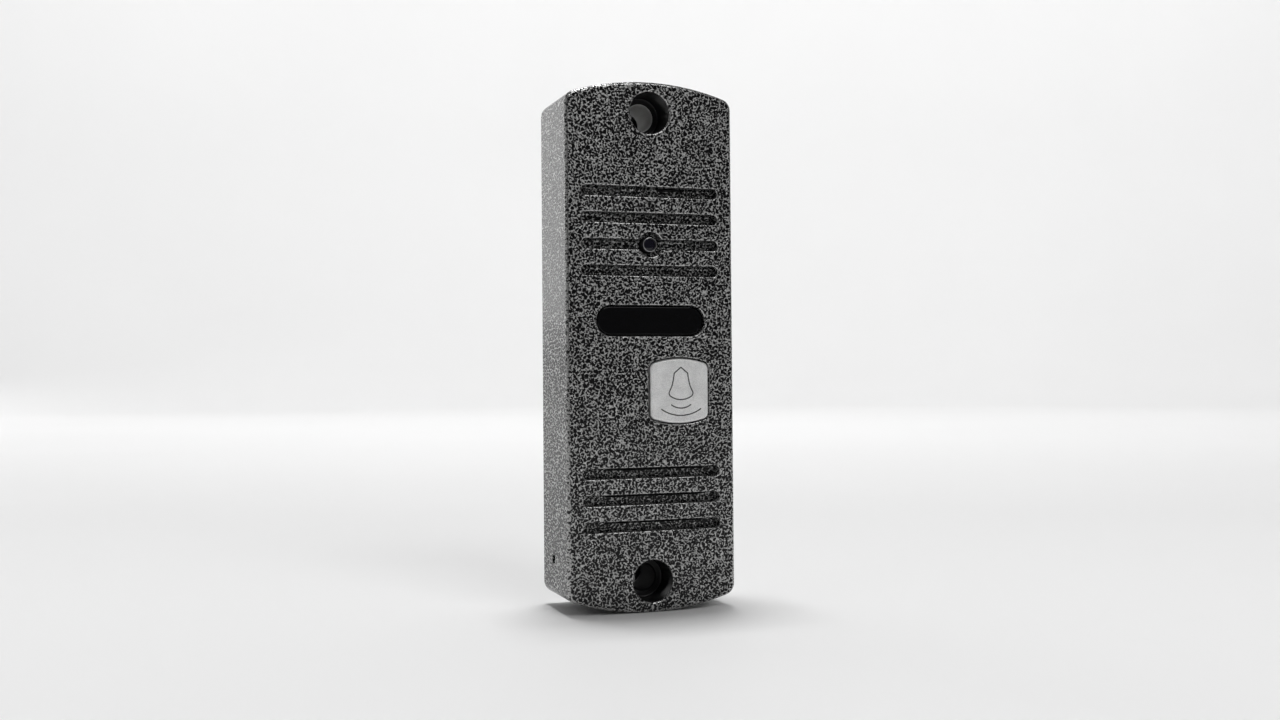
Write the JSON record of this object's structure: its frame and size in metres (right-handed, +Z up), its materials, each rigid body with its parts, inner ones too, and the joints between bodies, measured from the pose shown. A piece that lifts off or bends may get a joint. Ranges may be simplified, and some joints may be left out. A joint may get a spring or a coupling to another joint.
{
  "type": "video door station",
  "caption": "Slim surface-mounted video door station in a cast metal housing with grooves, camera, dark lamp window and square call button.",
  "frame": {"origin": "middle of the flat back face, where the station lies on the wall", "axes": "+Z up along the long side, +Y into the wall, front faces -Y, +X to the right seen from the front"},
  "size_m": [0.0406, 0.0214, 0.122],
  "materials": {
    "housing_finish": "die-cast zinc-aluminium, antique-silver hammertone powder coat: silver-grey network over black recessed flecks",
    "back_plate_finish": "steel sheet, fine black powder coat",
    "rubber": "matt black silicone and EPDM seals",
    "screw_zinc": "zinc-plated cross-recess screws",
    "button_finish": "satin silver lacquer with an engraved bell and two sound arcs",
    "black_plastic": "fine matt black moulding",
    "lens_glass": "clear coated glass over a dark barrel",
    "board_laminate": "green solder mask on glass laminate",
    "ferrite_black": "dark ferrite and moulded chip packages",
    "steel": "plain and plated pressed steel and aluminium cans",
    "lamp_epoxy": "slightly violet clear epoxy",
    "window_plastic": "glossy infrared-passing black acrylic",
    "speaker_paper": "pressed paper cone",
    "woven_mesh": "black woven dust cloth",
    "trimmer_plastic": "blue moulded trimmer case",
    "brass": "turned brass",
    "connector_nylon": "natural nylon"
  },
  "bodies": {
    "panel": {"audio_amplifier": "ferrite_black", "back_gasket": "rubber", "back_plate": "back_plate_finish", "back_screw_1": "screw_zinc", "back_screw_2": "screw_zinc", "back_screw_3": "screw_zinc", "back_screw_4": "screw_zinc", "board_screw_1": "screw_zinc", "board_screw_2": "screw_zinc", "board_screw_3": "screw_zinc", "board_screw_4": "screw_zinc", "button_retainer": "black_plastic", "cable_grommet": "rubber", "camera_bezel": "black_plastic", "camera_board": "board_laminate", "camera_glass": "lens_glass", "camera_header": "black_plastic", "camera_screw_1": "screw_zinc", "camera_screw_2": "screw_zinc", "capacitor_1": "steel", "capacitor_2": "steel", "housing": "housing_finish", "image_sensor": "ferrite_black", "infrared_lamp_1": "lamp_epoxy", "infrared_lamp_2": "lamp_epoxy", "infrared_lamp_3": "lamp_epoxy", "infrared_lamp_4": "lamp_epoxy", "infrared_lamp_5": "lamp_epoxy", "infrared_lamp_6": "lamp_epoxy", "lamp_board": "board_laminate", "lamp_header": "black_plastic", "lens_barrel": "black_plastic", "lens_element": "lens_glass", "lens_holder": "black_plastic", "light_sensor": "lens_glass", "main_board": "board_laminate", "microphone_boot": "rubber", "microphone_capsule": "steel", "microphone_mesh": "woven_mesh", "processor": "ferrite_black", "retainer_screw_1": "screw_zinc", "retainer_screw_2": "screw_zinc", "speaker_basket": "steel", "speaker_cone": "speaker_paper", "speaker_gasket": "rubber", "speaker_magnet": "ferrite_black", "speaker_mesh": "woven_mesh", "speaker_screw_1": "screw_zinc", "speaker_screw_2": "screw_zinc", "speaker_strap": "steel", "speaker_yoke": "steel", "switch_body": "black_plastic", "volume_body": "trimmer_plastic", "window_gasket": "rubber", "window_pane": "window_plastic", "wire_connector": "connector_nylon"},
    "call_button": {"button_cap": "button_finish", "switch_plunger": "black_plastic"},
    "volume_control": {"volume_rotor": "brass"}
  },
  "joints": [
    {"name": "button_press", "type": "slide", "parent": "panel", "child": "call_button", "axis": [0, 1, 0], "range_m": [0, 0.0006], "stiffness_N_per_m": 2500, "springref_m": -0.0004},
    {"name": "volume_turn", "type": "hinge", "parent": "panel", "child": "volume_control", "pos_m": [-0.0172, -0.009, -0.0492], "axis": [1, 0, 0], "range_deg": [-130, 130]}
  ]
}
